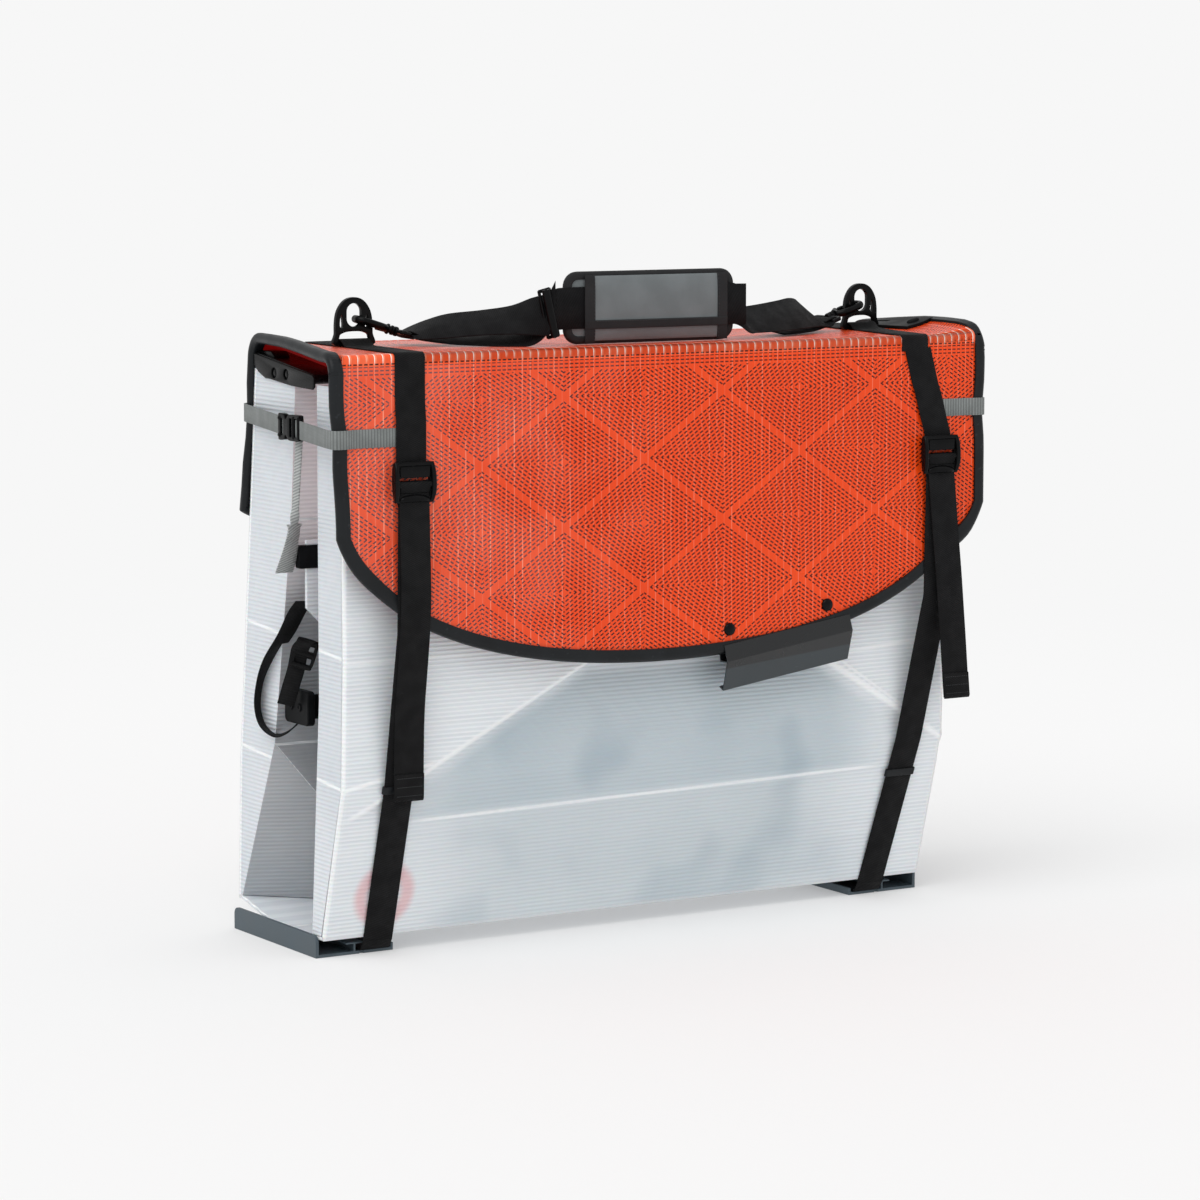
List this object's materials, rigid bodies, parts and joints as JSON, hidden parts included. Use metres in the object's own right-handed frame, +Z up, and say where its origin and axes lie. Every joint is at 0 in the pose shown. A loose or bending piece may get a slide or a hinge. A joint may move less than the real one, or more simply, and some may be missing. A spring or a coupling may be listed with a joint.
{
  "type": "folding kayak in carry box",
  "caption": "Folding kayak of corrugated sheet packed as an upright carry box, with a hinged lid board, webbing straps, grey side belts, base rails and a padded shoulder strap.",
  "frame": {"origin": "on the floor under the middle of the object's box", "axes": "+Z up, +X to the right end, -Y out of the front with the lid flap and buckles"},
  "size_m": [0.874, 0.3158, 0.7766],
  "materials": {
    "hull_sheet": "translucent corrugated polypropylene sheet",
    "rail": "satin slate grey",
    "cover_board": "printed corrugated board",
    "edge_trim": "matt edge channel",
    "black_webbing": "woven webbing",
    "grey_webbing": "woven webbing",
    "black_plastic": "moulded satin",
    "pad_cloth": "woven cloth over foam, black bound edge",
    "seat_foam": "closed-cell foam"
  },
  "bodies": {
    "case": {"hull_bottom": "hull_sheet", "hull_front_outer": "hull_sheet", "hull_front_inner": "hull_sheet", "hull_front_leaf": "hull_sheet", "hull_back_outer": "hull_sheet", "hull_back_inner": "hull_sheet", "hull_back_leaf": "hull_sheet", "rail_left": "rail", "rail_right": "rail", "cover_top": "cover_board", "cover_back": "cover_board", "trim_rear": "edge_trim", "strap_rear_left": "black_webbing", "strap_rear_right": "black_webbing", "end_bracket_left": "black_plastic", "end_bracket_right": "black_plastic", "top_plate": "black_plastic", "belt_rear_left": "grey_webbing", "belt_rear_right": "grey_webbing", "seat_back": "hull_sheet", "seat_back_cap": "black_plastic", "seat_pan": "seat_foam", "bulkhead_bow": "hull_sheet", "bulkhead_stern": "hull_sheet", "footrest": "black_plastic", "seat_strap": "black_webbing", "seat_strap_end": "black_webbing", "seat_buckle": "black_plastic"},
    "front_flap": {"cover_front": "cover_board", "trim_front": "edge_trim", "keeper_channel": "rail", "keeper_rivet_1": "black_plastic", "keeper_rivet_2": "black_plastic", "strap_upper_left": "black_webbing", "strap_upper_right": "black_webbing", "belt_front_left": "grey_webbing", "belt_front_right": "grey_webbing"},
    "carry_strap": {"shoulder_strap": "black_webbing", "hook_swivel_left": "black_plastic", "hook_swivel_right": "black_plastic"},
    "pad": {"shoulder_pad": "pad_cloth"},
    "slider": {"strap_slider": "black_plastic"},
    "lower_strap_left": {"strap_lower_left": "black_webbing", "strap_tail_left": "black_webbing"},
    "band_left": {"strap_keeper_left": "black_webbing"},
    "ladder_left": {"strap_buckle_left": "black_plastic"},
    "carry_ring_left": {"ring_left": "black_plastic"},
    "snap_hook_left": {"hook_left": "black_plastic"},
    "snap_gate_left": {"hook_gate_left": "black_plastic"},
    "side_buckle_left": {"belt_buckle_left": "black_plastic"},
    "side_tail_left": {"belt_tail_left": "grey_webbing"},
    "lower_strap_right": {"strap_lower_right": "black_webbing", "strap_tail_right": "black_webbing"},
    "band_right": {"strap_keeper_right": "black_webbing"},
    "ladder_right": {"strap_buckle_right": "black_plastic"},
    "carry_ring_right": {"ring_right": "black_plastic"},
    "snap_hook_right": {"hook_right": "black_plastic"},
    "snap_gate_right": {"hook_gate_right": "black_plastic"},
    "side_buckle_right": {"belt_buckle_right": "black_plastic"},
    "side_tail_right": {"belt_tail_right": "grey_webbing"}
  },
  "joints": [
    {"name": "cover_flap", "type": "hinge", "parent": "case", "child": "front_flap", "pos_m": [0, -0.14645, 0.6942], "axis": [-1, 0, 0], "range_deg": [0, 75]},
    {"name": "carry_swing", "type": "hinge", "parent": "case", "child": "carry_strap", "pos_m": [0, 0.00705, 0.696], "axis": [-1, 0, 0], "range_deg": [0, 45]},
    {"name": "pad_slide", "type": "slide", "parent": "carry_strap", "child": "pad", "axis": [1, 0, 0], "range_m": [-0.002, 0.03]},
    {"name": "slider_slide", "type": "slide", "parent": "carry_strap", "child": "slider", "axis": [-1, 0, 0], "range_m": [-0.002, 0.03]},
    {"name": "strap_left_release", "type": "hinge", "parent": "case", "child": "lower_strap_left", "pos_m": [-0.344, -0.05305, 0.004], "axis": [1, 0, 0], "range_deg": [0, 64]},
    {"name": "band_left_slide", "type": "slide", "parent": "lower_strap_left", "child": "band_left", "axis": [0, 0.269, -0.9631], "range_m": [0, 0.1]},
    {"name": "ladder_left_tilt", "type": "hinge", "parent": "front_flap", "child": "ladder_left", "pos_m": [-0.344, -0.15095, 0.5695], "axis": [-1, 0, 0], "range_deg": [0, 25]},
    {"name": "ring_left_swing", "type": "hinge", "parent": "case", "child": "carry_ring_left", "pos_m": [-0.334, 0.00705, 0.696], "axis": [-1, 0, 0], "range_deg": [0, 45]},
    {"name": "hook_left_turn", "type": "hinge", "parent": "carry_strap", "child": "snap_hook_left", "pos_m": [-0.334, 0.00705, 0.726], "axis": [0.9705, -0.1368, -0.1987], "range_deg": [-8, 8]},
    {"name": "gate_left_press", "type": "hinge", "parent": "snap_hook_left", "child": "snap_gate_left", "pos_m": [-0.30381, 0.0134, 0.72012], "axis": [0.1967, -0.0277, 0.9801], "range_deg": [0, 12], "stiffness_Nm_per_rad": 0.02},
    {"name": "side_buckle_left_tilt", "type": "hinge", "parent": "case", "child": "side_buckle_left", "pos_m": [-0.433, -0.00595, 0.606], "axis": [0, 0, -1], "range_deg": [0, 15]},
    {"name": "side_tail_left_swing", "type": "hinge", "parent": "side_buckle_left", "child": "side_tail_left", "pos_m": [-0.426, -0.02295, 0.5902], "axis": [0.522, 0.853, 0], "range_deg": [0, 15]},
    {"name": "strap_right_release", "type": "hinge", "parent": "case", "child": "lower_strap_right", "pos_m": [0.344, -0.05305, 0.004], "axis": [1, 0, 0], "range_deg": [0, 64]},
    {"name": "band_right_slide", "type": "slide", "parent": "lower_strap_right", "child": "band_right", "axis": [-0.0959, 0.2678, -0.9587], "range_m": [-0.03, 0.08]},
    {"name": "ladder_right_tilt", "type": "hinge", "parent": "front_flap", "child": "ladder_right", "pos_m": [0.378, -0.15095, 0.5695], "axis": [-1, 0, 0], "range_deg": [0, 25]},
    {"name": "ring_right_swing", "type": "hinge", "parent": "case", "child": "carry_ring_right", "pos_m": [0.37, 0.00705, 0.696], "axis": [-1, 0, 0], "range_deg": [0, 45]},
    {"name": "hook_right_turn", "type": "hinge", "parent": "carry_strap", "child": "snap_hook_right", "pos_m": [0.37, 0.00705, 0.726], "axis": [-0.9705, -0.1368, -0.1987], "range_deg": [-8, 8]},
    {"name": "gate_right_press", "type": "hinge", "parent": "snap_hook_right", "child": "snap_gate_right", "pos_m": [0.33981, 0.0134, 0.72012], "axis": [0.1967, 0.0277, -0.9801], "range_deg": [0, 12], "stiffness_Nm_per_rad": 0.02},
    {"name": "side_buckle_right_tilt", "type": "hinge", "parent": "case", "child": "side_buckle_right", "pos_m": [0.433, -0.00595, 0.606], "axis": [0, 0, 1], "range_deg": [0, 15]},
    {"name": "side_tail_right_swing", "type": "hinge", "parent": "side_buckle_right", "child": "side_tail_right", "pos_m": [0.426, -0.02295, 0.5902], "axis": [0.522, -0.853, 0], "range_deg": [0, 15]}
  ],
  "couplings": [
    {"joint": "strap_left_release", "follows": "cover_flap", "ratio": 0.84},
    {"joint": "ring_left_swing", "follows": "carry_swing", "ratio": 1},
    {"joint": "strap_right_release", "follows": "cover_flap", "ratio": 0.84},
    {"joint": "ring_right_swing", "follows": "carry_swing", "ratio": 1}
  ]
}
